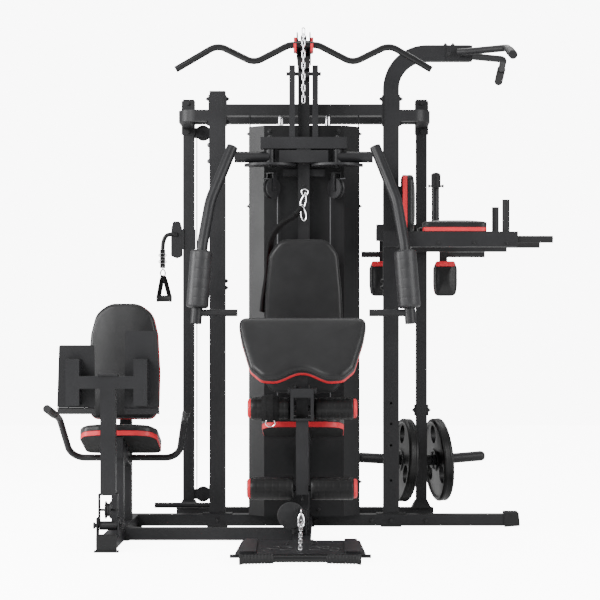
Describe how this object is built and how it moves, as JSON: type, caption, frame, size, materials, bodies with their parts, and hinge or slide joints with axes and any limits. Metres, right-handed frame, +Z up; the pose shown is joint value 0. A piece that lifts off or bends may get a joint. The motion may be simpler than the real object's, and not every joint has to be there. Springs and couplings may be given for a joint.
{
  "type": "multi station home gym",
  "caption": "Multi station home gym with a shrouded weight stack, press and fly arms, lat pulley, leg lever, leg press, dip stand, pull-up arm, cable column and plate pegs",
  "frame": {"origin": "On the floor under the middle of the main frame, below the weight stack", "axes": "+Z up, -Y towards the seat and the user, +X towards the dip stand"},
  "size_m": [2.1467, 2.0941, 2.164],
  "materials": {
    "frame_paint": "satin charcoal powder coat",
    "shroud_paint": "satin charcoal powder coat on sheet",
    "bar_paint": "semi gloss black coat",
    "upholstery": "soft grained synthetic leather",
    "foam": "matt closed cell foam",
    "black_rubber": "matt moulded rubber",
    "chrome_steel": "bright plated steel",
    "black_plastic": "matt moulded nylon",
    "red_coating": "bright red coat",
    "stack_iron": "black painted cast iron",
    "disc_iron": "gloss black coated iron",
    "coated_cable": "black coated steel cable",
    "black_bolts": "black oxide steel"
  },
  "bodies": {
    "frame": {"backrest_pad": "upholstery", "bar_hooks": "red_coating", "base_center_frame": "frame_paint", "base_leg_press_tube": "frame_paint", "base_main_tube": "frame_paint", "bolts_and_axles": "black_bolts", "dip_frame": "frame_paint", "dip_pads": "upholstery", "foot_plate": "frame_paint", "frame_brackets": "frame_paint", "guide_rods": "chrome_steel", "hand_grips": "black_rubber", "lat_cable": "coated_cable", "lat_tower": "frame_paint", "leg_press_back_pad": "upholstery", "leg_press_posts": "frame_paint", "leg_press_seat_pad": "upholstery", "plate_pegs": "frame_paint", "pull_up_bars": "frame_paint", "rear_frame": "frame_paint", "rubber_feet": "black_rubber", "seat_frame": "frame_paint", "seat_pad": "upholstery", "shroud_left": "shroud_paint", "shroud_right": "shroud_paint", "stack_plates_lower": "stack_iron", "station_cables": "coated_cable", "top_frame": "frame_paint", "upright_left": "frame_paint", "upright_right": "frame_paint"},
    "stack": {"selector_stem": "chrome_steel", "stack_plates_upper": "stack_iron"},
    "pin": {"selector_pin": "black_plastic"},
    "press": {"press_frame": "frame_paint"},
    "fly_left": {"fly_arm_left": "frame_paint", "arm_roller_left": "foam"},
    "fly_right": {"fly_arm_right": "frame_paint", "arm_roller_right": "foam"},
    "lat_bar_body": {"lat_bar": "bar_paint", "lat_chain": "chrome_steel"},
    "lever": {"leg_lever": "frame_paint"},
    "upper_rollers": {"upper_foam_rollers": "foam"},
    "lower_rollers": {"lower_foam_rollers": "foam"},
    "preacher": {"preacher_pad": "upholstery", "preacher_post": "frame_paint"},
    "leg_press": {"leg_press_arm": "frame_paint"},
    "leg_press_pulley_body": {"leg_press_pulley": "black_plastic"},
    "pulley_lat_front": {"lat_pulley_front": "black_plastic"},
    "pulley_lat_rear": {"lat_pulley_rear": "black_plastic"},
    "pulley_fly_left": {"fly_pulley_left": "black_plastic"},
    "pulley_fly_right": {"fly_pulley_right": "black_plastic"},
    "pulley_low": {"low_pulley": "black_plastic"},
    "pulley_column_top": {"column_pulley_top": "black_plastic"},
    "pulley_column_low": {"column_pulley_low": "black_plastic"},
    "carriage": {"column_carriage": "frame_paint"},
    "squat": {"squat_yoke": "frame_paint", "squat_pads": "upholstery"},
    "disc_left": {"weight_disc_left": "disc_iron"},
    "disc_right": {"weight_disc_right": "disc_iron"},
    "row_bar_body": {"row_bar": "bar_paint"}
  },
  "joints": [
    {"name": "stack_lift", "type": "slide", "parent": "frame", "child": "stack", "axis": [0, 0, 1], "range_m": [0, 0.9], "deforming": ["lat_cable"]},
    {"name": "pin_pull", "type": "slide", "parent": "stack", "child": "pin", "axis": [0, 1, 0], "range_m": [0, 0.11]},
    {"name": "press_swing", "type": "hinge", "parent": "frame", "child": "press", "pos_m": [0, -0.225, 1.98], "axis": [1, 0, 0], "range_deg": [-40, 0]},
    {"name": "fly_swing_left", "type": "hinge", "parent": "press", "child": "fly_left", "pos_m": [-0.145, -0.225, 1.62], "axis": [0, 0, 1], "range_deg": [0, 60]},
    {"name": "fly_swing_right", "type": "hinge", "parent": "press", "child": "fly_right", "pos_m": [0.145, -0.225, 1.62], "axis": [0, 0, 1], "range_deg": [-60, 0]},
    {"name": "lat_bar_lift", "type": "slide", "parent": "frame", "child": "lat_bar_body", "axis": [0, -0.7071, 0.7071], "range_m": [0, 0.35]},
    {"name": "leg_lever_swing", "type": "hinge", "parent": "frame", "child": "lever", "pos_m": [0, -0.776, 0.625], "axis": [1, 0, 0], "range_deg": [-75, 0]},
    {"name": "upper_roller_spin", "type": "hinge", "parent": "frame", "child": "upper_rollers", "pos_m": [0, -0.72, 0.553], "axis": [1, 0, 0], "continuous": true},
    {"name": "lower_roller_spin", "type": "hinge", "parent": "lever", "child": "lower_rollers", "pos_m": [0, -0.776, 0.232], "axis": [1, 0, 0], "continuous": true},
    {"name": "preacher_height", "type": "slide", "parent": "frame", "child": "preacher", "axis": [0, 0, 1], "range_m": [0, 0.04]},
    {"name": "leg_press_swing", "type": "hinge", "parent": "frame", "child": "leg_press", "pos_m": [-0.765, -0.93, 0.098], "axis": [1, 0, 0], "range_deg": [0, 25]},
    {"name": "leg_press_pulley_spin", "type": "hinge", "parent": "leg_press", "child": "leg_press_pulley_body", "pos_m": [-0.765, -0.93, 0.16], "axis": [1, 0, 0], "continuous": true},
    {"name": "lat_pulley_front_spin", "type": "hinge", "parent": "frame", "child": "pulley_lat_front", "pos_m": [0, -0.247, 2.098], "axis": [1, 0, 0], "continuous": true},
    {"name": "lat_pulley_rear_spin", "type": "hinge", "parent": "frame", "child": "pulley_lat_rear", "pos_m": [0, -0.0385, 2.098], "axis": [1, 0, 0], "continuous": true},
    {"name": "fly_pulley_left_spin", "type": "hinge", "parent": "frame", "child": "pulley_fly_left", "pos_m": [-0.14, -0.17, 1.49], "axis": [0.766, -0.6428, 0], "continuous": true},
    {"name": "fly_pulley_right_spin", "type": "hinge", "parent": "frame", "child": "pulley_fly_right", "pos_m": [0.14, -0.17, 1.49], "axis": [0.766, 0.6428, 0], "continuous": true},
    {"name": "low_pulley_spin", "type": "hinge", "parent": "frame", "child": "pulley_low", "pos_m": [0, -0.87, 0.11], "axis": [1, 0, 0], "continuous": true},
    {"name": "column_pulley_top_spin", "type": "hinge", "parent": "frame", "child": "pulley_column_top", "pos_m": [-0.47, 0.32, 1.78], "axis": [0, 1, 0], "continuous": true},
    {"name": "column_pulley_low_spin", "type": "hinge", "parent": "frame", "child": "pulley_column_low", "pos_m": [-0.47, 0.32, 0.116], "axis": [0, 1, 0], "continuous": true},
    {"name": "carriage_height", "type": "slide", "parent": "frame", "child": "carriage", "axis": [0, 0, 1], "range_m": [-0.95, 0.27]},
    {"name": "squat_swing", "type": "hinge", "parent": "frame", "child": "squat", "pos_m": [0.536, 0.4, 1.33], "axis": [1, 0, 0], "range_deg": [-20, 35]},
    {"name": "disc_left_off", "type": "slide", "parent": "frame", "child": "disc_left", "axis": [-0.9758, -0.2074, 0.0698], "range_m": [0, 0.15]},
    {"name": "disc_right_off", "type": "slide", "parent": "frame", "child": "disc_right", "axis": [0.9758, 0.2074, 0.0698], "range_m": [0, 0.15]},
    {"name": "row_bar_lift", "type": "slide", "parent": "frame", "child": "row_bar_body", "axis": [0, -0.5, 0.866], "range_m": [0, 0.4]}
  ]
}
